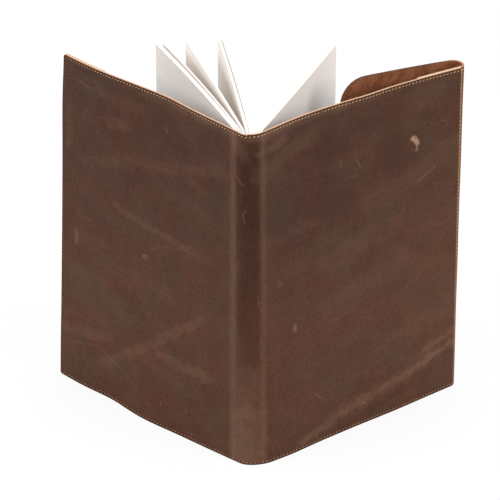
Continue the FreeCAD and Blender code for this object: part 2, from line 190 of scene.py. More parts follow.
def sheetGrid(columns, span, corner, seam):
    # along and z of a face's points, and how far round its far corners each column stands
    far = columns[-1] - edgeRound
    radius = max(corner - edgeRound, 0)
    straight = columns[columns < far - radius - sheetMesh["least"] * mm]
    rounding = far - radius + radius * np.sin(np.radians(np.linspace(0, 90, sheetMesh["cornerSteps"])))
    across = np.concatenate([straight, rounding if radius else [far]])
    across[0] = columns[0] + (0 if seam else edgeRound)
    low, high = span[0] + edgeRound, span[1] - edgeRound
    border, first = np.array(sheetMesh["border"]) * mm, sheetMesh["firstRow"] * mm
    spaced = stops((first, sheetMesh["rowStep"] * mm), (high - low - first, 0))
    rows = np.concatenate([border, spaced, high - low - border[::-1]]) / (high - low)
    past = np.clip(across - (far - radius), 0, radius)
    inset = radius - np.sqrt(np.maximum(radius ** 2 - past ** 2, 0))
    alongGrid = np.repeat(across[:, None], len(rows), 1)
    zGrid = (low + inset)[:, None] + rows[None] * (high - low - 2 * inset)[:, None]
    roundShare = past / radius if radius else (np.arange(len(across)) == len(across) - 1) * 1.0
    return alongGrid, zGrid, roundShare, radius


def buildSheet(name, cover, columns, span, lifts, corner, seam, materials):
    # a closed sheet on a cover: a face on each side, and rounded edges between them.
    # columns run away from the spine; span is its lowest and highest z; lifts gives both faces' lift
    alongGrid, zGrid, cornerShare, radius = sheetGrid(columns, span, corner, seam)
    columnCount, rowCount = alongGrid.shape

    loop = [(i, 0) for i in range(columnCount)]
    loop += [(columnCount - 1, j) for j in range(1, rowCount)]
    loop += [(i, rowCount - 1) for i in range(columnCount - 2, -1, -1)]
    loop += [(0, j) for j in range(rowCount - 2, 0, -1)]
    outward = []
    for i, j in loop:
        lean = cornerShare[i]
        rise = math.sqrt(max(1 - lean * lean, 0)) if radius else 1.0
        edgeZ = {0: -1, rowCount - 1: 1}.get(j, 0)
        outward.append((0 if seam and i == 0 else -1, edgeZ) if i == 0
                       else (lean if edgeZ else 1.0, edgeZ * rise))
    outward = np.array(outward)
    loopAlong = np.array([alongGrid[i, j] for i, j in loop])
    loopZ = np.array([zGrid[i, j] for i, j in loop])

    outerLift, innerLift = lifts(alongGrid.ravel(), zGrid.ravel())
    faceLow, faceHigh = lifts(loopAlong, loopZ)
    along, z, lift = [alongGrid.ravel()], [zGrid.ravel()], [outerLift]
    turns = np.radians(sheetMesh["roundTurns"])
    for face, way, order in ((faceLow, 1, turns), (faceHigh, -1, turns[::-1])):
        for turn in order:
            along.append(loopAlong + outward[:, 0] * edgeRound * np.sin(turn))
            z.append(loopZ + outward[:, 1] * edgeRound * np.sin(turn))
            lift.append(face + way * np.minimum(edgeRound * (1 - np.cos(turn)), (faceHigh - faceLow) / 2))
    ringCount = 2 * len(turns)
    along, z = np.concatenate(along + [alongGrid.ravel()]), np.concatenate(z + [zGrid.ravel()])
    lift = np.concatenate(lift + [innerLift])

    def gridFaces(first):
        return [(first + i * rowCount + j, first + (i + 1) * rowCount + j,
                 first + (i + 1) * rowCount + j + 1, first + i * rowCount + j + 1)
                for i in range(columnCount - 1) for j in range(rowCount - 1)]

    innerStart = len(along) - columnCount * rowCount
    rings = [[i * rowCount + j for i, j in loop]]
    starts = [columnCount * rowCount + k * len(loop) for k in range(ringCount)]
    rings += [list(range(start, start + len(loop))) for start in starts]
    rings += [[innerStart + i * rowCount + j for i, j in loop]]
    faces = gridFaces(0)
    slots = [0] * len(faces)                       # material slots: outer face, cut edge, inner face
    for k, (ring, following) in enumerate(zip(rings, rings[1:])):
        faces += zip(ring, ring[1:] + ring[:1], following[1:] + following[:1], following)
        slots += [0 if k == 0 else 2 if k == ringCount else 1] * len(ring)
    slots += [2] * len(gridFaces(innerStart))
    faces += gridFaces(innerStart)

    mesh = bpy.data.meshes.new(name)
    mesh.from_pydata(leatherPoints(cover, along, z, lift), [], faces)
    mesh.polygons.foreach_set("material_index", np.array(slots, np.int32))
    mesh.polygons.foreach_set("use_smooth", np.ones(len(faces), bool))
    for material in materials:
        mesh.materials.append(material)
    side = coverShape[cover]["side"]
    walked = np.concatenate([[0], np.cumsum(np.hypot(np.diff(loopAlong), np.diff(loopZ)))])
    edgeAlong = np.zeros(len(along))
    for ring in rings:
        edgeAlong[ring] = walked
    corners = np.array([vertex for face in faces for vertex in face])
    onEdge = np.repeat(np.array(slots) == 1, 4)
    uv = np.stack([np.where(onEdge, edgeAlong[corners], side * along[corners]),
                   np.where(onEdge, lift[corners], z[corners])], -1)
    mesh.uv_layers.new(name="sheet").data.foreach_set("uv", uv.ravel())
    for key, values in (("edgeDistance", edgeDistance(along, z, *farEdge(cover))), ("along", along)):
        mesh.attributes.new(key, "FLOAT", "POINT").data.foreach_set("value", values.astype(np.float32))
    if seam:
        atSeam = np.abs(along - columns[0]) < 1e-4 * mm
        sharp = [bool(atSeam[a] and atSeam[b]) for a, b in (edge.vertices for edge in mesh.edges)]
        mesh.attributes.new("sharp_edge", "BOOLEAN", "EDGE").data.foreach_set("value", sharp)
    return finishMesh(name, mesh)


def addObject(name, data):
    item = bpy.data.objects.new(name, data)
    bpy.context.scene.collection.objects.link(item)
    return item


def finishMesh(name, mesh):
    # every face points outwards
    work = bmesh.new()
    work.from_mesh(mesh)
    bmesh.ops.recalc_face_normals(work, faces=work.faces)
    work.to_mesh(mesh)
    work.free()
    return addObject(name, mesh)


# what the finishes are made with
def srgb(*levels):
    return [((level / 255 + 0.055) / 1.055) ** 2.4 for level in levels] + [1.0]


def addNode(tree, kind, inputs=None, **settings):
    item = tree.nodes.new(kind)
    for key, value in settings.items():
        setattr(item, key, value)
    for key, value in (inputs or {}).items():
        if isinstance(value, bpy.types.NodeSocket):
            tree.links.new(value, item.inputs[key])
        else:
            item.inputs[key].default_value = value
    return item


def calc(tree, operation, first, second=0.0, clamp=False):
    inputs = {0: first, 1: second}
    return addNode(tree, "ShaderNodeMath", inputs, operation=operation, use_clamp=clamp).outputs[0]


def product(tree, first, *others):
    for other in others:
        first = calc(tree, "MULTIPLY", first, other)
    return first


def distanceFrom(tree, value, middle):
    return calc(tree, "ABSOLUTE", calc(tree, "SUBTRACT", value, middle))


def vectorCalc(tree, operation, first, second, output="Vector"):
    return addNode(tree, "ShaderNodeVectorMath", {0: first, 1: second}, operation=operation).outputs[output]


def parted(tree, vector):
    return addNode(tree, "ShaderNodeSeparateXYZ", {0: vector}).outputs


def tint(tree, factor, first, second, mode="MIX"):
    inputs = {0: factor, 6: first, 7: second}
    return addNode(tree, "ShaderNodeMix", inputs, data_type="RGBA", blend_type=mode).outputs[2]


def shaded(tree, color, shade):
    gray = addNode(tree, "ShaderNodeCombineColor", {0: shade, 1: shade, 2: shade}).outputs[0]
    return tint(tree, 1.0, color, gray, "MULTIPLY")


def remap(tree, value, low, high, toLow=0.0, toHigh=1.0):
    inputs = {"Value": value, "From Min": low, "From Max": high, "To Min": toLow, "To Max": toHigh}
    return addNode(tree, "ShaderNodeMapRange", inputs, interpolation_type="SMOOTHSTEP").outputs[0]


def cloud(tree, vector, scale, detail=3.0, rough=0.5, warp=0.0, flat="2D"):
    inputs = {"Vector": vector, "Scale": scale, "Detail": detail, "Roughness": rough, "Distortion": warp}
    return addNode(tree, "ShaderNodeTexNoise", inputs, noise_dimensions=flat).outputs["Fac"]


def turned(tree, vector, angle, stretch):
    inputs = {"Vector": vector, "Rotation": (0, 0, math.radians(angle)), "Scale": stretch}
    return addNode(tree, "ShaderNodeMapping", inputs).outputs[0]


def sheetMap(tree):
    # distance round the cover and height, in metres, or on a cut edge the way round it and the lift
    return addNode(tree, "ShaderNodeUVMap", uv_map="sheet").outputs[0]


def meshValue(tree, name):
    return addNode(tree, "ShaderNodeAttribute", attribute_name=name).outputs["Fac"]


def dress(tree, shader, color, relief, strength, depth):
    # the color and relief of a finish; depth in mm
    inputs = {"Height": relief, "Strength": strength, "Distance": depth * mm}
    tree.links.new(addNode(tree, "ShaderNodeBump", inputs).outputs[0], shader["Normal"])
    tree.links.new(color, shader["Base Color"])


def newFinish(name, look):
    material = bpy.data.materials.new(name)
    material.use_nodes = True
    tree = material.node_tree
    shader = tree.nodes["Principled BSDF"]
    shader.inputs["Roughness"].default_value = look["roughness"]
    shader.inputs["Specular IOR Level"].default_value = look["specular"]
    return material, tree, shader.inputs


def strokeGroup():
    # a place (X, Y) that carries its strongest mark so far in Z goes in, and comes out with
    # the line from Start to End added: Strength on the line, fading to 0 at Width
    group = bpy.data.node_groups.new("stroke", "ShaderNodeTree")
    for name, kind in (("Place", "Vector"), ("Start", "Vector"), ("End", "Vector"), ("Width", "Float"),
                       ("Strength", "Float")):
        group.interface.new_socket(name, in_out="INPUT", socket_type="NodeSocket" + kind)
    group.interface.new_socket("Place", in_out="OUTPUT", socket_type="NodeSocketVector")
    given = group.nodes.new("NodeGroupInput").outputs
    flat = vectorCalc(group, "MULTIPLY", given["Place"], (1, 1, 0))
    off = vectorCalc(group, "SUBTRACT", flat, given["Start"])
    run = vectorCalc(group, "SUBTRACT", given["End"], given["Start"])
    share = calc(group, "DIVIDE", vectorCalc(group, "DOT_PRODUCT", off, run, "Value"),
                 vectorCalc(group, "DOT_PRODUCT", run, run, "Value"), clamp=True)
    nearest = addNode(group, "ShaderNodeVectorMath", {0: run, "Scale": share}, operation="SCALE").outputs[0]
    distance = vectorCalc(group, "DISTANCE", off, nearest, "Value")
    mask = remap(group, calc(group, "DIVIDE", distance, given["Width"]), 0.25, 1.0, given["Strength"], 0.0)
    parts = parted(group, given["Place"])
    strongest = calc(group, "MAXIMUM", mask, parts["Z"])
    joined = addNode(group, "ShaderNodeCombineXYZ", {0: parts["X"], 1: parts["Y"], 2: strongest}).outputs[0]
    group.links.new(joined, group.nodes.new("NodeGroupOutput").inputs[0])
    return group


strokeNodes = strokeGroup()


def strokes(tree, vector, marks):
    # the strongest of many marks; each is a strength, a width in mm and points in mm
    place = vectorCalc(tree, "MULTIPLY", vector, (1, 1, 0))
    for strength, width, *points in marks:
        for start, end in zip(points, points[1:]):
            inputs = {"Place": place, "Start": (start[0] * mm, start[1] * mm, 0),
                      "End": (end[0] * mm, end[1] * mm, 0), "Width": width * mm, "Strength": strength}
            place = addNode(tree, "ShaderNodeGroup", inputs, node_tree=strokeNodes).outputs[0]
    return parted(tree, place)["Z"]


# the grain side of the leather. Places are (distance round the cover, height) in mm, front cover negative
waxedLeather = {
    "warm": srgb(83, 51, 38), "cool": srgb(79, 54, 40), "burnishAndShade": srgb(50, 26, 15), "bent": srgb(60, 33, 19),
    "pulledAndHighlight": srgb(140, 106, 86), "golden": srgb(176, 122, 72), "scuffed": srgb(200, 160, 130),
    "roughness": 0.58, "specular": 0.12, "grain": 1100, "wander": (2.2, 7), "markMargin": 15,
    # pale line along each crease, leather paled by the bend and a painted highlight: its distance from the
    # spine's middle, half its width, and its strength
    "creaseLineAndHighlight": {"front": (11.0, 4.6, 0.2), "back": (8.9, 3.6, 0.15)},
    "broadMarksAndHighlights": [  # soft pulled-up streaks, partly painted soft highlights: strength, width, and the points they pass
        (0.28, 4.2, (37, 4.7), (85, 16.8), (126, 23.7), (162, 33)), (0.10, 9.0, (60, 12), (120, 22)),
        (0.14, 3.4, (136, 34), (162, 42)), (0.08, 10.0, (59, 91), (120, 104)),
        (0.08, 9.0, (8, 196), (49, 208)),
        (0.06, 12.0, (60, 120), (120, 132)), (0.05, 12.0, (96, 150), (150, 166)),
        (0.06, 11.0, (100, 44), (155, 60)), (0.12, 3.4, (-115, 136), (-83, 132.5), (-50, 131)),
        (0.13, 5.5, (-158, 35), (-117, 44)), (0.14, 5.0, (-126, 21), (-75, 58), (-38, 86)),
        (0.16, 5.5, (-73, 49), (-50, 48.5), (-28, 49)),
        (0.07, 6.0, (-142, 157), (-97, 172), (-65, 178), (-13, 194)),
        (0.13, 5.5, (-120, 191), (-103, 194)), (0.10, 5.0, (-156, 189), (-157, 165)),
        (0.12, 3.0, (-165, 6), (-164.5, 60)), (0.14, 6.0, (-8, 214), (-2, 208)),
        (0.30, 15.0, (-2, -4), (0, 34)), (0.16, 12.0, (-1, 34), (0, 60)), (0.16, 5.0, (9, 209), (26, 212)),
    ],
    "fineMarks": [  # scratches and nicks
        (0.3, 0.7, (-148.5, 210.5), (-137.5, 208)), (0.14, 0.6, (-148.5, 210.5), (-149, 207)),
        (0.16, 0.6, (-134, 216), (-123, 203)), (0.1, 0.6, (-129, 214), (-121, 200)),
        (0.26, 0.7, (-73, 202.5), (-70.5, 200.5)),
        (0.16, 0.7, (-82, 118), (-68, 125), (-50, 129), (-42, 128)),
        (0.16, 0.7, (-158, 26), (-128, 34), (-119, 30), (-103, 24), (-80, 12)),
        (0.12, 0.5, (-139, 30), (-138.7, 8)),
        (0.3, 0.6, (-71, 15), (-71, 18)), (0.24, 0.6, (-50, 17), (-50, 21)), (0.3, 0.7, (-45, 3), (-45, 6)),
        (0.34, 0.7, (-7, 193), (-4.5, 190.5), (-2.5, 190)),
        (0.34, 0.6, (-1.8, 173), (-3.4, 169.4), (-1.9, 165.4)),
        (0.24, 0.7, (70.2, 185), (71, 181)), (0.34, 0.7, (82.6, 182.5), (84.5, 178), (86, 177)),
        (0.24, 0.8, (130, 154.4), (143.4, 160.7)), (0.16, 0.8, (76, 172), (84, 171.5)),
        (0.26, 0.7, (49, 35), (52, 31), (56, 29)), (0.26, 0.7, (84, 18), (91, 12.5)),
        (0.18, 0.8, (64, 80), (75, 81.5)), (0.14, 0.7, (138, 84), (149, 85)),
        (0.22, 0.7, (20, 122), (23.5, 118)), (0.22, 0.7, (23, 121), (20, 118.5)),
        (0.2, 0.6, (143, 189), (146.5, 190.6), (151, 190), (152, 187)),
        (0.2, 0.7, (125.5, 177), (127.5, 175.5), (130, 176)),
        (0.14, 0.5, (-96, 123), (-94, 118)), (0.12, 0.6, (-91, 108), (-88, 112), (-84, 109)),
        (0.26, 0.5, (5.5, 116), (6.2, 110)), (0.22, 0.5, (7.5, 88), (7, 80)),
        (0.2, 0.5, (-6, 140), (-7, 131)),
    ],
    "scuffs": [  # grain worn through to the pale hide
        (0.62, 2.6, (126.3, 184.4), (129.2, 180.6)), (0.26, 1.4, (129, 179), (128.8, 175.7)),
        (0.17, 2.4, (33.4, 86.4), (33.9, 84.4)), (0.12, 2.4, (-88, 111), (-86, 112)),
        (0.1, 2.6, (-149, 106), (-149, 99)),
    ],
    "darkPatchesAndShade": [  # darker patches of leather; those high on the back cover by the spine are painted shade
        (0.6, 17, (-72, 204), (-60, 196)), (0.5, 16, (-34, 184), (-26, 178)),
        (0.45, 14, (-104, 160), (-96, 158)),
        (0.5, 18, (-130, 126), (-112, 118)), (0.4, 20, (-102, 72), (-96, 66)),
        (0.4, 16, (-32, 36), (-28, 28)),
        (0.4, 16, (-114, 52), (-108, 46)), (0.9, 26, (40, 204), (62, 190)), (0.9, 26, (40, 176), (66, 160)),
        (0.8, 24, (24, 165), (42, 150)), (0.6, 20, (108, 182), (116, 172)), (0.6, 7, (90, 9), (140, 17)),
    ],
}


def marksOn(kind, reach):
    # the marks that lie on one piece of leather, or close enough to cross its seam
    low, high = reach[0] - waxedLeather["markMargin"], reach[1] + waxedLeather["markMargin"]
    return [mark for mark in waxedLeather[kind] if any(low < point[0] < high for point in mark[2:])]


def drawnMarks(tree, look, uv, place, reach):
    # the pale wear with its painted highlights, the scuffs, the dark patches with their painted shade, the
    # mottle and the hair scratches, each as a mask
    shiver = addNode(tree, "ShaderNodeTexNoise", {"Vector": uv, "Scale": 160.0, "Detail": 2.0},
                     noise_dimensions="2D").outputs["Color"]
    shiver = vectorCalc(tree, "SUBTRACT", shiver, (0.5, 0.5, 0.5))
    drifts = [vectorCalc(tree, "MULTIPLY", shiver, (by * mm, by * mm, 0)) for by in look["wander"]]
    wander, farWander = (vectorCalc(tree, "ADD", drift, uv) for drift in drifts)
    fromMiddle = calc(tree, "ABSOLUTE", place["X"])
    mottle = cloud(tree, farWander, 60, 5, 0.62)
    worn = cloud(tree, turned(tree, uv, 0, (900, 90, 1)), 1.0, 4, 0.65)
    # pulled-up wax: long faint streaks, hair scratches, paler leather under the top edge, and the named
    # marks, some of them partly painted soft highlights
    streak = cloud(tree, turned(tree, farWander, -18, (14, 60, 1)), 1.0, 3, 0.6)
    hair = cloud(tree, turned(tree, wander, 36, (60, 900, 1)), 1.0, 1, 0.5)
    streak, hair = remap(tree, streak, 0.5, 0.8, 0.0, 0.06), remap(tree, hair, 0.68, 0.84, 0.0, 0.06)
    topBand = product(tree, remap(tree, place["Y"], height - 7.5 * mm, height - 2.0 * mm, 0.0, 0.24),
                      remap(tree, fromMiddle, 50 * mm, 125 * mm, 1.0, 0.1))
    broadAndHighlights = calc(tree, "ADD", strokes(tree, farWander, marksOn("broadMarksAndHighlights", reach)), topBand)
    broadAndHighlights = product(tree, broadAndHighlights, remap(tree, mottle, 0.3, 0.6, 0.6, 1.0))
    fine = product(tree, strokes(tree, wander, marksOn("fineMarks", reach)),
                   remap(tree, cloud(tree, uv, 900, 1), 0.3, 0.55, 0.35, 1.0))
    # painted highlight along each crease, with the leather paled by the bend
    offLine, halfWidth, creased = look["creaseLineAndHighlight"]["front" if reach[0] < 0 else "back"]
    creaseOff = distanceFrom(tree, fromMiddle, offLine * mm)
    crease = product(tree, remap(tree, creaseOff, 0.2 * mm, halfWidth * mm, creased, 0.0),
                     remap(tree, worn, 0.3, 0.65, 0.6, 1.15))
    pale = calc(tree, "ADD", broadAndHighlights, calc(tree, "ADD", streak, hair))
    pale = calc(tree, "ADD", calc(tree, "ADD", pale, crease), fine, clamp=True)
    scuff = product(tree, strokes(tree, wander, marksOn("scuffs", reach)),
                    remap(tree, cloud(tree, uv, 700, 2, 0.7), 0.38, 0.55, 0.45, 1.0))
    # darker patches, those high on the back cover by the spine painted shade
    dark = strokes(tree, farWander, marksOn("darkPatchesAndShade", reach))
    return {"pale": pale, "scuff": scuff, "dark": dark, "mottle": mottle, "hair": hair, "worn": worn}


def waxedLeatherFinish(name, reach):
    look = waxedLeather
    material, tree, shader = newFinish(name, look)
    uv, edge = sheetMap(tree), meshValue(tree, "edgeDistance")
    place = parted(tree, uv)
    fromMiddle = calc(tree, "ABSOLUTE", place["X"])
    marks = drawnMarks(tree, look, uv, place, reach)

    color = tint(tree, remap(tree, cloud(tree, uv, 34, 4, 0.6, 0.4), 0.36, 0.66), look["warm"], look["cool"])
    # the leather's own tone, with painted shade darkening it towards the top
    shade = product(tree, remap(tree, marks["mottle"], 0.25, 0.75, 0.92, 1.08),
                    remap(tree, cloud(tree, uv, 480, 4, 0.7), 0.28, 0.72, 0.86, 1.14),
                    remap(tree, place["Y"], 0.2 * height, height, 1.03, 0.75),
                    remap(tree, marks["dark"], 0.0, 1.0, 1.0, 0.86))
    # painted light: the back cover grows lighter towards its fold
    if reach[0] >= 0:
        shade = product(tree, shade, remap(tree, fromMiddle, 90 * mm, 160 * mm, 1.0, 1.13))

    # the bent leather of the spine: a band of deeper tone with worn grain running down it, partly painted
    # shade, fading out towards the bottom
    spineToneAndShade = product(tree, remap(tree, fromMiddle, 5.5 * mm, 9.5 * mm, 0.72, 0.0),
                   remap(tree, place["Y"], 10 * mm, 160 * mm),
                   remap(tree, marks["worn"], 0.35, 0.65, 1.1, 0.8))
    color = shaded(tree, tint(tree, spineToneAndShade, color, look["bent"]), shade)
    # pale wear and painted highlights
    color = tint(tree, marks["pale"], color, look["pulledAndHighlight"])
    if reach[0] >= 0:
        foldOff = distanceFrom(tree, fromMiddle, flapSeam + 0.3 * mm)
        color = tint(tree, remap(tree, foldOff, 0.2 * mm, 1.5 * mm, 0.42, 0.0), color, look["golden"])
    color = tint(tree, marks["scuff"], color, look["scuffed"])

    # burnished rim outside the stitches, darkened further at the edge as painted shade, and painted shade in
    # their groove
    rim = remap(tree, edge, 0.45 * mm, 1.15 * mm, 0.85, 0.0)
    grooveOff = distanceFrom(tree, edge, seamRow["inset"] * mm)
    groove = remap(tree, grooveOff, 0.2 * mm, 0.9 * mm, 0.35, 0.0)
    color = tint(tree, calc(tree, "MAXIMUM", rim, groove), color, look["burnishAndShade"])

    inputs = {"Vector": uv, "Scale": look["grain"]}
    grain = addNode(tree, "ShaderNodeTexVoronoi", inputs, voronoi_dimensions="2D").outputs[0]
    relief = calc(tree, "ADD", product(tree, grain, 0.5), cloud(tree, uv, 260, 5, 0.65))
    relief = calc(tree, "SUBTRACT", relief, product(tree, marks["hair"], 1.2))
    dress(tree, shader, color, relief, 0.5, 0.14)
    wear = calc(tree, "ADD", product(tree, marks["pale"], 0.18), product(tree, marks["scuff"], 0.3))
    rough = look["roughness"]
    gloss = remap(tree, cloud(tree, uv, 90, 3, 0.6), 0.3, 0.7, rough - 0.07, rough + 0.08)
    tree.links.new(calc(tree, "ADD", gloss, wear, clamp=True), shader["Roughness"])
    return material


fleshLeather = {"light": srgb(162, 103, 69), "dark": srgb(131, 78, 51), "roughness": 0.92, "specular": 0.2}


def fleshLeatherFinish():
    # the napped inner side of the hide
    material, tree, shader = newFinish("fleshLeather", fleshLeather)
    uv = sheetMap(tree)
    nap = cloud(tree, uv, 1100, 4, 0.7)
    patches = remap(tree, cloud(tree, uv, 110, 7, 0.72, 0.3), 0.36, 0.64)
    color = tint(tree, patches, fleshLeather["dark"], fleshLeather["light"])
    color = shaded(tree, color, remap(tree, nap, 0.3, 0.7, 0.78, 1.2))
    relief = calc(tree, "ADD", nap, product(tree, cloud(tree, uv, 300, 4, 0.6), 1.5))
    dress(tree, shader, color, relief, 0.6, 0.18)
    return material


cutEdges = {
    "cutEdge": {"pale": srgb(236, 202, 178), "tan": srgb(198, 140, 100), "roughness": 0.8, "specular": 0.25},
    # raw on the fold and burnished from there on: the change begins and ends so many mm past the fold's start
    "burnishedEdge": {"pale": srgb(96, 56, 36), "tan": srgb(58, 32, 21), "roughness": 0.6, "specular": 0.25,
                      "burnished": (8, 26)},
}


def cutEdgeFinish(name):
    # the cut edge: tanned orange near the grain side, pale in the middle of the hide
    look = cutEdges[name]
    material, tree, shader = newFinish(name, look)
    uv = sheetMap(tree)
    fibre = cloud(tree, turned(tree, uv, 0, (300, 2600, 1)), 1.0, 4, 0.6)
    paleness = product(tree, remap(tree, parted(tree, uv)["Y"], -0.75 * halfLeather, -0.1 * halfLeather),
                       remap(tree, fibre, 0.3, 0.7, 0.72, 1.0))
    color = tint(tree, paleness, look["tan"], look["pale"])
    if "burnished" in look:
        start, end = (backReach + distance * mm for distance in look["burnished"])
        burnished = remap(tree, meshValue(tree, "along"), start, end)
        color = tint(tree, burnished, cutEdges["cutEdge"]["tan"], color)
    dress(tree, shader, color, fibre, 0.5, 0.1)
    return material


# the sheet, its random tone, and the painted shade on the faces near the top, from and to so many mm below
# the top
paper = {"sheet": srgb(252, 248, 245), "shadow": srgb(245, 238, 233), "paintedShade": srgb(243, 235, 228),
         "paintedShadeFrom": 35, "paintedShadeTo": 3, "roughness": 0.9, "specular": 0.2}


def paperFinish():
    material, tree, shader = newFinish("paper", paper)
    spot = addNode(tree, "ShaderNodeTexCoord").outputs["Object"]
    tooth = cloud(tree, spot, 900, 3, 0.6, flat="3D")
    shadow = remap(tree, cloud(tree, spot, 20, 2, flat="3D"), 0.3, 0.7, 0.0, 0.5)
    color = tint(tree, shadow, paper["sheet"], paper["shadow"])
    # painted shade: the faces are darker towards the top, and the cut top edges are left without it
    start, end = (pageHigh - paper[key] * mm for key in ("paintedShadeFrom", "paintedShadeTo"))
    paintedShade = product(tree, remap(tree, parted(tree, spot)["Z"], start, end), meshValue(tree, "paintedShade"))
    dress(tree, shader, tint(tree, paintedShade, color, paper["paintedShade"]), tooth, 0.25, 0.04)
    return material


card = {"color": srgb(44, 40, 37), "worn": srgb(70, 64, 58), "roughness": 0.8, "specular": 0.3}


def cardFinish():
    material, tree, shader = newFinish("card", card)
    fleck = cloud(tree, sheetMap(tree), 1400, 4, 0.7)
    color = tint(tree, remap(tree, fleck, 0.45, 0.75), card["color"], card["worn"])
    dress(tree, shader, color, fleck, 0.3, 0.05)
    return material


thread = {"light": srgb(212, 172, 134), "dark": srgb(168, 124, 88), "darkened": srgb(112, 60, 30),
          "roughness": 0.6, "specular": 0.3}


def threadFinish():
    material, tree, shader = newFinish("thread", thread)
    spot = addNode(tree, "ShaderNodeTexCoord").outputs["Object"]
    ply = remap(tree, cloud(tree, spot, 700, 2, 0.6, flat="3D"), 0.3, 0.7)
    color = tint(tree, ply, thread["dark"], thread["light"])
    color = tint(tree, meshValue(tree, "darkening"), color, thread["darkened"])
    tree.links.new(color, shader["Base Color"])
    return material


fleshSide, edgeSide, threadSide = fleshLeatherFinish(), cutEdgeFinish("cutEdge"), threadFinish()
paperSide, cardSide = paperFinish(), cardFinish()
pastMarks = 20                                     # mm past the fold's start: no mark reaches the flap
frontHide = [waxedLeatherFinish("waxedLeatherFront", (-frontReach / mm, 0)), edgeSide, fleshSide]
backHide = [waxedLeatherFinish("waxedLeatherBack", (0, backReach / mm)), edgeSide, fleshSide]
flapHide = [waxedLeatherFinish("waxedLeatherFlap", (backReach / mm + pastMarks, flapReach / mm)),
            cutEdgeFinish("burnishedEdge"), fleshSide]
print("finishes:", len(bpy.data.materials))


# leather: a front piece and a back piece that meet at the middle of the spine, and the flap
def leatherLifts(cover):
    def lifts(along, z):
        groove = grooveDepth(cover, along, z)
        return -halfLeather + groove, halfLeather - groove * seamRow["inside"]
    return lifts


# columns of points stand closest at the spine
spineStops = [(0, 0.12 * mm), (0.12 * mm, 0.75 * mm), (24 * mm, 3.2 * mm)]
frontLeather = buildSheet("front_leather_skin", "front",
                          stops(*spineStops, (frontReach - 8 * mm, 0.6 * mm), (frontReach, 0)),
                          (0, height), leatherLifts("front"), coverCorner, True, frontHide)
backLeather = buildSheet("back_leather_skin", "back",
                         stops(*spineStops, (flapSeam - 6 * mm, 0.5 * mm), (flapSeam + edgeRound, 0)),
                         (0, height), leatherLifts("back"), 0, True, backHide)
flapLeather = buildSheet("flap_leather_skin", "back",
                         stops((flapSeam, 0.55 * mm), (backReach + 24 * mm, 3 * mm),
                               (flapReach - 17 * mm, 1.2 * mm), (flapReach - 6 * mm, 0.6 * mm),
                               (flapReach, 0)),
                         (0, height), leatherLifts("back"), flapCorner, True, flapHide)


def coverPoint(cover, along, z, lift=0.0):
    return Vector(leatherPoints(cover, along * mm, z, lift * mm))


# how far each side of a crease the leather turns, and how far inside both layers it does at the fold, in mm
softTurn = {"crease": 6.0, "boardSide": 1.2, "flapSide": 1.0}


def blendAtCrease(piece, cover):
    start, end = (coverPoint(cover, creaseReach / mm + off, height / 2)
                  for off in (-softTurn["crease"], softTurn["crease"]))
    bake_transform(piece)


def blendAtFold(piece):
    # the fold's line from bottom to top, and the way into the journal square to it; the piece's place is then
    # baked into its points
    low, high = (coverPoint("back", backReach / mm, z) for z in (0, height))
    upward = (high - low).normalized()
    inward = Vector((-math.sin(coverTurn), math.cos(coverTurn), 0))
    inward = (inward - inward.dot(upward) * upward).normalized()
    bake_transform(piece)


blendAtCrease(frontLeather, "front")
blendAtCrease(backLeather, "back")
blendAtFold(flapLeather)
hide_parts("front_leather", "spine_leather")
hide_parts("back_leather")
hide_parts("flap_leather")


# the notebook's card cover, one half on each side of the spine
notebookCard = {"low": 0.05, "thickness": 0.5, "corner": 3.0}  # mm above the leather, and its corners' radius
cardTop = (notebookCard["low"] + notebookCard["thickness"]) * mm


def buildCard(cover):
    low = halfLeather + notebookCard["low"] * mm

    def lifts(along, z):
        return np.full_like(along, low), np.full_like(along, halfLeather + cardTop)

    columns = stops(*spineStops, (cardReach - 4 * mm, 1 * mm), (cardReach, 0))
    piece = buildSheet("notebook_card_" + cover, cover, columns, (pageLow, pageHigh), lifts,
                       notebookCard["corner"] * mm, True, [cardSide] * 3)
    blendAtCrease(piece, cover)
    return piece


frontCard, backCard = buildCard("front"), buildCard("back")
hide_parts("notebook_front", "notebook_spine")
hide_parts("notebook_back")

# strips sewn inside the covers over the card: flat on the leather by the seam, then up a ramp onto the card
strip = {"width": {"front": 36.5, "back": 29.5}, "thickness": 1.2, "seam": 3.2, "ramp": 3.0, "pastSeam": 1.5,
         "low": 0.04}


def stripEnds(cover):
    outer = frontReach if cover == "front" else flapSeam + strip["pastSeam"] * mm
    return coverShape[cover]["reach"] - strip["width"][cover] * mm, outer


def buildStrip(cover):
    inner, reach = stripEnds(cover)

    def lifts(along, z):
        fromEdge = np.minimum(reach - along, np.minimum(z, height - z))
        over = np.clip((fromEdge / mm - strip["seam"]) / strip["ramp"], 0, 1)
        low = halfLeather + strip["low"] * mm + cardTop * over * over * (3 - 2 * over)
        return low, low + strip["thickness"] * mm - grooveDepth(cover, along, z)

    columns = stops((inner, 0.6 * mm), (inner + 3 * mm, 3 * mm), (reach - 9 * mm, 0.6 * mm), (reach, 0))
    piece = buildSheet(cover + "_strip_skin", cover, columns, (0, height), lifts,
                       coverCorner if cover == "front" else 0, False, [fleshSide, edgeSide, flapHide[0]])
    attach(piece, cover + "_cover")
    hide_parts(cover + "_strip")


buildStrip("front")
buildStrip("back")
print("card and strips done")


# stitches: one bent thread, set along each row by geometry nodes. Lengths in mm, the slant in degrees
# and its spread in radians
stitch = {"pitch": 2.5, "length": 1.85, "radius": 0.28, "rise": 0.14, "dip": 0.35, "slant": 31.0,
          "spread": 0.07, "seed": 5,
          # how dark the thread is made, and how far from the fore edge in mm
          "darkened": {"fore": 0.9, "low": 0.45, "inside": 0.65, "corner": 0.5,
                     "foreWidth": 3, "cornerWidth": 26}}


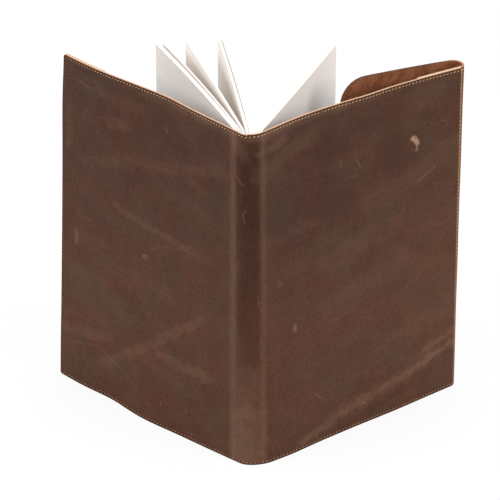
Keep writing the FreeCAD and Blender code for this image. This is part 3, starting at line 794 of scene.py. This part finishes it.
def stitchTree():
    tree = bpy.data.node_groups.new("stitchRow", "GeometryNodeTree")
    tree.interface.new_socket("Rows", in_out="INPUT", socket_type="NodeSocketGeometry")
    for name in ("Pitch", "Length", "Radius", "Rise", "Dip", "Slant"):
        tree.interface.new_socket(name, in_out="INPUT", socket_type="NodeSocketFloat")
    tree.interface.new_socket("Seed", in_out="INPUT", socket_type="NodeSocketInt")
    tree.interface.new_socket("Thread", in_out="INPUT", socket_type="NodeSocketMaterial")
    tree.interface.new_socket("Stitches", in_out="OUTPUT", socket_type="NodeSocketGeometry")
    given = tree.nodes.new("NodeGroupInput").outputs
    curve = addNode(tree, "GeometryNodeMeshToCurve", {"Mesh": given["Rows"]}).outputs[0]
    inputs = {"Curve": curve, "Length": given["Pitch"]}
    points = addNode(tree, "GeometryNodeResampleCurve", inputs, mode="LENGTH").outputs[0]
    inputs = {"Name": "outward"}
    outward = addNode(tree, "GeometryNodeInputNamedAttribute", inputs, data_type="FLOAT_VECTOR").outputs[0]
    tangent = addNode(tree, "GeometryNodeInputTangent").outputs[0]
    alongRow = addNode(tree, "FunctionNodeAlignRotationToVector", {"Vector": tangent}, axis="X").outputs[0]
    inputs = {"Rotation": alongRow, "Vector": outward}
    facing = addNode(tree, "FunctionNodeAlignRotationToVector", inputs, axis="Z", pivot_axis="X").outputs[0]
    spread = {2: -stitch["spread"], 3: stitch["spread"], "Seed": given["Seed"]}
    spread = addNode(tree, "FunctionNodeRandomValue", spread).outputs[1]
    angle = calc(tree, "ADD", given["Slant"], spread)
    lean = addNode(tree, "FunctionNodeAxisAngleToRotation", {"Axis": (0, 0, 1), "Angle": angle}).outputs[0]
    inputs = {"Rotation": facing, "Rotate By": lean}
    turn = addNode(tree, "FunctionNodeRotateRotation", inputs, rotation_space="LOCAL").outputs[0]

    half = product(tree, given["Length"], 0.5)
    down = product(tree, given["Dip"], -1.0)
    top = calc(tree, "ADD", product(tree, given["Rise"], 2.0), given["Dip"])
    ends = [addNode(tree, "ShaderNodeCombineXYZ", {0: x, 2: z}).outputs[0]
            for x, z in ((product(tree, half, -1.0), down), (0.0, top), (half, down))]
    bent = addNode(tree, "GeometryNodeCurveQuadraticBezier",
                   {"Resolution": 5, "Start": ends[0], "Middle": ends[1], "End": ends[2]}).outputs[0]
    inputs = {"Resolution": 6, "Radius": given["Radius"]}
    ring = addNode(tree, "GeometryNodeCurvePrimitiveCircle", inputs).outputs[0]
    inputs = {"Curve": bent, "Profile Curve": ring, "Fill Caps": True}
    body = addNode(tree, "GeometryNodeCurveToMesh", inputs).outputs[0]
    inputs = {"Points": points, "Instance": body, "Rotation": turn}
    placed = addNode(tree, "GeometryNodeInstanceOnPoints", inputs).outputs[0]
    real = addNode(tree, "GeometryNodeRealizeInstances", {0: placed}).outputs[0]
    smooth = addNode(tree, "GeometryNodeSetShadeSmooth", {0: real}).outputs[0]
    inputs = {"Geometry": smooth, "Material": given["Thread"]}
    dyed = addNode(tree, "GeometryNodeSetMaterial", inputs).outputs[0]
    tree.links.new(dyed, tree.nodes.new("NodeGroupOutput").inputs[0])
    return tree


stitchNodes = stitchTree()


def insetPath(start, far, corner, inset):
    # along the top edge, round the far end and back along the bottom edge, in metres
    radius = max(corner - inset, 0)
    arc = np.radians(np.linspace(90, 0, 10) if radius else [45.0])
    endAlong, endZ = far - inset - radius, height - inset - radius
    top = [(endAlong + radius * math.cos(angle), endZ + radius * math.sin(angle)) for angle in arc]
    straight = [(a, height - inset) for a in np.arange(start, top[0][0] - mm, mm)]
    down = [(far - inset, z) for z in np.arange(top[-1][1] - mm, height / 2, -mm)]
    half = straight + top + down
    return half + [(a, height - z) for a, z in half[::-1]]


def threadDarkening(cover, along, z, facing):
    # the thread is darkest down the fore edge of the front cover, and darker low down and inside
    darkened = stitch["darkened"]
    low = darkened["low"] * np.clip(1.2 - 2 * z / height, 0, 1)
    fromFore = frontReach - along if cover == "front" else np.abs(along - flapReach)
    fore = darkened["fore"] * np.clip(1.6 - fromFore / (darkened["foreWidth"] * mm), 0, 1)
    corner = darkened["corner"] * np.exp(-fromFore / (darkened["cornerWidth"] * mm))
    darkening = np.maximum(np.maximum(low, fore), corner)
    return np.maximum(darkening, darkened["inside"]) if facing > 0 else darkening


def rowMesh(name, cover, paths):
    # the rows as edges, each point with the direction away from the leather
    points, edges, outward, darkening = [], [], [], []
    for path, lift, facing in paths:
        along, z = np.array(path).T
        base = lift(along, z)
        place = leatherPoints(cover, along, z, base)
        away = leatherPoints(cover, along, z, base + facing * 0.1 * mm) - place
        first = len(points)
        points += list(place)
        outward += list(away / np.linalg.norm(away, axis=1)[:, None])
        edges += [(first + n, first + n + 1) for n in range(len(path) - 1)]
        darkening += list(threadDarkening(cover, along, z, facing))
    mesh = bpy.data.meshes.new(name)
    mesh.from_pydata(points, edges, [])
    mesh.attributes.new("darkening", "FLOAT", "POINT").data.foreach_set("value", darkening)
    directions = mesh.attributes.new("outward", "FLOAT_VECTOR", "POINT")
    directions.data.foreach_set("vector", np.array(outward).ravel())
    return addObject(name, mesh)


def sewRows(name, cover, paths):
    rows = rowMesh(name + "_rows", cover, paths)
    modifier = rows.modifiers.new("stitches", "NODES")
    modifier.node_group = stitchNodes
    values = {key: stitch[key.lower()] * mm for key in ("Pitch", "Length", "Radius", "Rise", "Dip")}
    values.update({"Slant": math.radians(stitch["slant"]), "Seed": stitch["seed"], "Thread": threadSide})
    for item in stitchNodes.interface.items_tree:
        if item.in_out == "INPUT" and item.name in values:
            modifier[item.identifier] = values[item.name]
    bpy.context.view_layer.update()
    mesh = bpy.data.meshes.new_from_object(rows.evaluated_get(bpy.context.evaluated_depsgraph_get()))
    mesh.name = name
    piece = addObject(name, mesh)
    bpy.data.objects.remove(rows)
    return piece


def outerRow(cover):
    return lambda along, z: -halfLeather + grooveDepth(cover, along, z)


def innerRow(cover):
    inner, reach = stripEnds(cover)

    def lift(along, z):
        onStrip = ((along > inner) & (along < reach)) * strip["thickness"] * mm
        return halfLeather - grooveDepth(cover, along, z) * seamRow["inside"] + onStrip
    return lift


def bothSides(cover, path):
    return [(path, outerRow(cover), -1), (path, innerRow(cover), 1)]


inset, halfPitch = seamRow["inset"] * mm, stitch["pitch"] / 2 * mm
frontPath = insetPath(halfPitch, frontReach, coverCorner, inset)
frontStitches = sewRows("front_stitches", "front", bothSides("front", frontPath))
boardRows = [[(a, z) for a in np.arange(halfPitch, flapSeam, mm)] for z in (inset, height - inset)]
foldRow = [(flapSeam, z) for z in np.arange(inset + halfPitch, height - inset - halfPitch, mm)]
backStitches = sewRows("back_stitches", "back",
                       [side for path in boardRows + [foldRow] for side in bothSides("back", path)])
flapPath = insetPath(flapSeam + halfPitch, flapReach, flapCorner, inset)
flapStitches = sewRows("flap_stitches", "back", bothSides("back", flapPath))
blendAtCrease(frontStitches, "front")
blendAtCrease(backStitches, "back")
blendAtFold(flapStitches)
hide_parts("front_stitching", "spine_stitching")
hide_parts("back_stitching")
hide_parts("flap_stitching")
print("stitches:", sum(len(p.data.polygons) for p in (frontStitches, backStitches, flapStitches)), "faces")

# pages: groups of leaves fanned from the spine; thickness and place at the root in mm, lean in degrees
# from straight ahead as the journal stands and when it is closed, and the cover each group follows
groupKeys = ("name", "root", "thickness", "lean", "closed", "curl", "cover")
pageGroups = [dict(zip(groupKeys, values)) for values in (
    ("pages_left", -7.05, 2.8, -25.75, -1.35, -1.9, "front"),
    ("leaf_left", -4.95, 1.3, -24.95, -1.1, -2.0, "front"),
    ("pages_middle", -3.45, 1.6, -19.25, -0.55, -0.5, "front"),
    ("pages_inner", -1.65, 1.9, -11.25, -0.25, -0.8, "front"),
    ("leaf_inner", -0.4, 0.4, -11.15, -0.1, -1.1, "front"),
    ("leaf_right", 1.1, 2.0, 17.12, 0.4, -0.8, "back"),
    ("pages_right", 3.95, 3.5, 17.2, 0.7, -0.8, "back"),
)]
# in mm; a leaf is a little thinner than its share of the group, and trimmed unevenly
pageBlock = {"width": 139.7, "rootDepth": 4.9, "clear": 0.2, "sink": 0.5, "bend": 14.0, "leaf": 0.4,
             "share": 0.97, "ragged": 0.25, "drop": 0.6, "seed": 11}
random.seed(pageBlock["seed"])


def pageSpine(x):
    # how near the spine a leaf can start at this x: just off the card's inner face
    cover = "front" if x < 0 else "back"
    nearest = 0.0
    for z in (pageLow, pageHigh):
        line = leatherPoints(cover, np.arange(0, 30, 0.25) * mm, z, halfLeather + cardTop)
        nearest = max(nearest, float(np.interp(abs(x), np.abs(line[:, 0]), line[:, 1])))
    return nearest


def closingShare(group):
    # how much of its cover's turn the group follows, so that it stands at its closed lean at the end
    closing = joints[group["cover"] + "_cover_crease"]["range_deg"][0]
    return abs((group["lean"] - group["closed"]) / closing), abs(closing)


def leafStart(group, x):
    # clear of the card as the journal stands, and still inside the spine once it has turned down on closing
    share, closing = closingShare(group)
    crease = frontCrease if group["cover"] == "front" else backCrease
    turn = math.radians(share * closing)
    nearest = pageSpine(x)
    sunk = nearest - pageBlock["sink"] * mm
    raised = crease.y + (sunk - crease.y + abs(x - crease.x) * math.sin(turn)) / math.cos(turn)
    return max(nearest + pageBlock["clear"] * mm, raised)


def pageGroup(group):
    leaves = max(1, round(group["thickness"] / pageBlock["leaf"]))
    thick = group["thickness"] / leaves * mm
    lean, curl = math.radians(group["lean"]), math.radians(group["curl"])
    middle, root, width, bend = (value * mm for value in (group["root"], pageBlock["rootDepth"],
                                                          pageBlock["width"], pageBlock["bend"]))
    points, faces, paintedShade = [], [], []
    for leaf in range(leaves):
        low = (leaf - leaves / 2) * thick
        ragged = random.uniform(-1, 1) * pageBlock["ragged"] * mm
        drop = random.uniform(0, pageBlock["drop"]) * pageBlock["ragged"] * mm
        start = leafStart(group, middle + low + thick / 2)
        along = np.concatenate([[start], np.linspace(max(root, start + 0.5 * mm), root + bend, 7),
                                np.linspace(root + bend, root + width + ragged, 13)[1:]])
        x, y, heading = walkArcs(along, [(root, 0.0), (bend, -lean + curl), (width - bend, -2 * curl)])
        count, first = len(along), len(points)
        for lift in (low, low + thick * pageBlock["share"]):
            across, ahead = middle - y + np.cos(heading) * lift, x + np.sin(heading) * lift
            for z in (pageLow + drop, pageHigh - drop):
                points += [(a, b, z) for a, b in zip(across, ahead)]
        lines = [first, first + count, first + 3 * count, first + 2 * count]
        for side, (line, following) in enumerate(zip(lines, lines[1:] + lines[:1])):
            faces += [(line + n, line + n + 1, following + n + 1, following + n) for n in range(count - 1)]
            paintedShade += [float(side != 1)] * (count - 1)  # painted shade on all but the top edge
        faces += [tuple(lines), tuple(line + count - 1 for line in lines)]
        paintedShade += [1.0, 1.0]
    mesh = bpy.data.meshes.new(group["name"])
    mesh.from_pydata(points, [], faces)
    mesh.materials.append(paperSide)
    mesh.attributes.new("paintedShade", "FLOAT", "FACE").data.foreach_set("value", paintedShade)
    mesh.polygons.foreach_set("use_smooth", np.ones(len(faces), bool))
    mesh.set_sharp_from_angle(angle=math.radians(30))
    piece = finishMesh(group["name"], mesh)
    followCover(piece)
    return piece


def followCover(piece):
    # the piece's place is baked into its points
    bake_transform(piece)


pages = [pageGroup(group) for group in pageGroups]
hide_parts("text_block")
print("pages:", sum(len(piece.data.polygons) for piece in pages), "faces")

# floor, light and camera
studio = {"floor": 6.0, "floorColor": (0.86, 0.86, 0.86, 1), "floorGlow": 0.86, "ambient": 0.59,
          "white": 1.03, "roughness": 0.9, "specular": 0.5}


def setStage():
    mesh = bpy.data.meshes.new("floor")
    half = studio["floor"]
    corners = [(-half, -half, 0), (half, -half, 0), (half, half, 0), (-half, half, 0)]
    mesh.from_pydata(corners, [], [(0, 1, 2, 3)])
    floor = addObject("floor", mesh)
    material, tree, shader = newFinish("studioFloor", studio)
    shader["Base Color"].default_value = studio["floorColor"]
    inputs = {"Color": (1, 1, 1, 1), "Strength": studio["white"]}
    glow = addNode(tree, "ShaderNodeEmission", inputs).outputs[0]
    rays = addNode(tree, "ShaderNodeLightPath").outputs
    seen = product(tree, rays["Is Camera Ray"], studio["floorGlow"])
    plain = tree.nodes["Principled BSDF"].outputs[0]
    mixed = addNode(tree, "ShaderNodeMixShader", {0: seen, 1: plain, 2: glow}).outputs[0]
    tree.links.new(mixed, tree.nodes["Material Output"].inputs["Surface"])
    mesh.materials.append(material)

    world = bpy.data.worlds.new("studio")
    world.use_nodes = True
    bpy.context.scene.world = world
    tree = world.node_tree
    rays = addNode(tree, "ShaderNodeLightPath").outputs
    direct = calc(tree, "MAXIMUM", rays["Is Camera Ray"], rays["Is Transmission Ray"])
    strength = remap(tree, direct, 0.0, 1.0, studio["ambient"], 1.0)
    tree.links.new(strength, tree.nodes["Background"].inputs["Strength"])
    tree.nodes["Background"].inputs["Color"].default_value = (1, 1, 1, 1)


lamps = {  # size and place in metres, power in watts
    "highLeft": {"size": 1.1, "place": (-1.8, -0.8, 1.45), "power": 25.5},
    "highRight": {"size": 1.1, "place": (1.8, -0.81, 1.4), "power": 27.0},
    "behind": {"size": 1.2, "place": (0.0, 1.3, 1.6), "power": 5.0},
}


def hangLamps():
    aim = Vector((0, 0.05, height / 2))
    for name, lamp in lamps.items():
        light = bpy.data.lights.new(name, "AREA")
        light.size, light.energy = lamp["size"], lamp["power"]
        item = addObject(name, light)
        item.location = lamp["place"]
        item.rotation_euler = (aim - Vector(lamp["place"])).to_track_quat("-Z", "Y").to_euler()


# angles in degrees, the distance in metres, the point aimed at in mm
viewpoint = {"azimuth": 3.5, "elevation": 28.0, "roll": 0.17, "distance": 2.2, "lens": 267.7, "sensor": 36.0,
             "clip": (0.05, 50.0), "aim": (0.6, 0.0, 147.9)}


def setCamera():
    azimuth, elevation, roll = (math.radians(viewpoint[key]) for key in ("azimuth", "elevation", "roll"))
    back = Vector((math.sin(azimuth) * math.cos(elevation), -math.cos(azimuth) * math.cos(elevation),
                   math.sin(elevation)))
    right = Vector((math.cos(azimuth), math.sin(azimuth), 0))
    up = back.cross(right)
    data = bpy.data.cameras.new("camera")
    data.lens, data.sensor_width = viewpoint["lens"], viewpoint["sensor"]
    data.clip_start, data.clip_end = viewpoint["clip"]
    camera = addObject("camera", data)
    tilted = right * math.cos(roll) + up * math.sin(roll)
    axes = Matrix((tilted, back.cross(tilted), back)).transposed()
    place = Vector(viewpoint["aim"]) * mm + back * viewpoint["distance"]
    camera.matrix_world = Matrix.Translation(place) @ axes.to_4x4()
    bpy.context.scene.camera = camera


setStage()
hangLamps()
setCamera()
bpy.context.scene.view_settings.view_transform = "Standard"
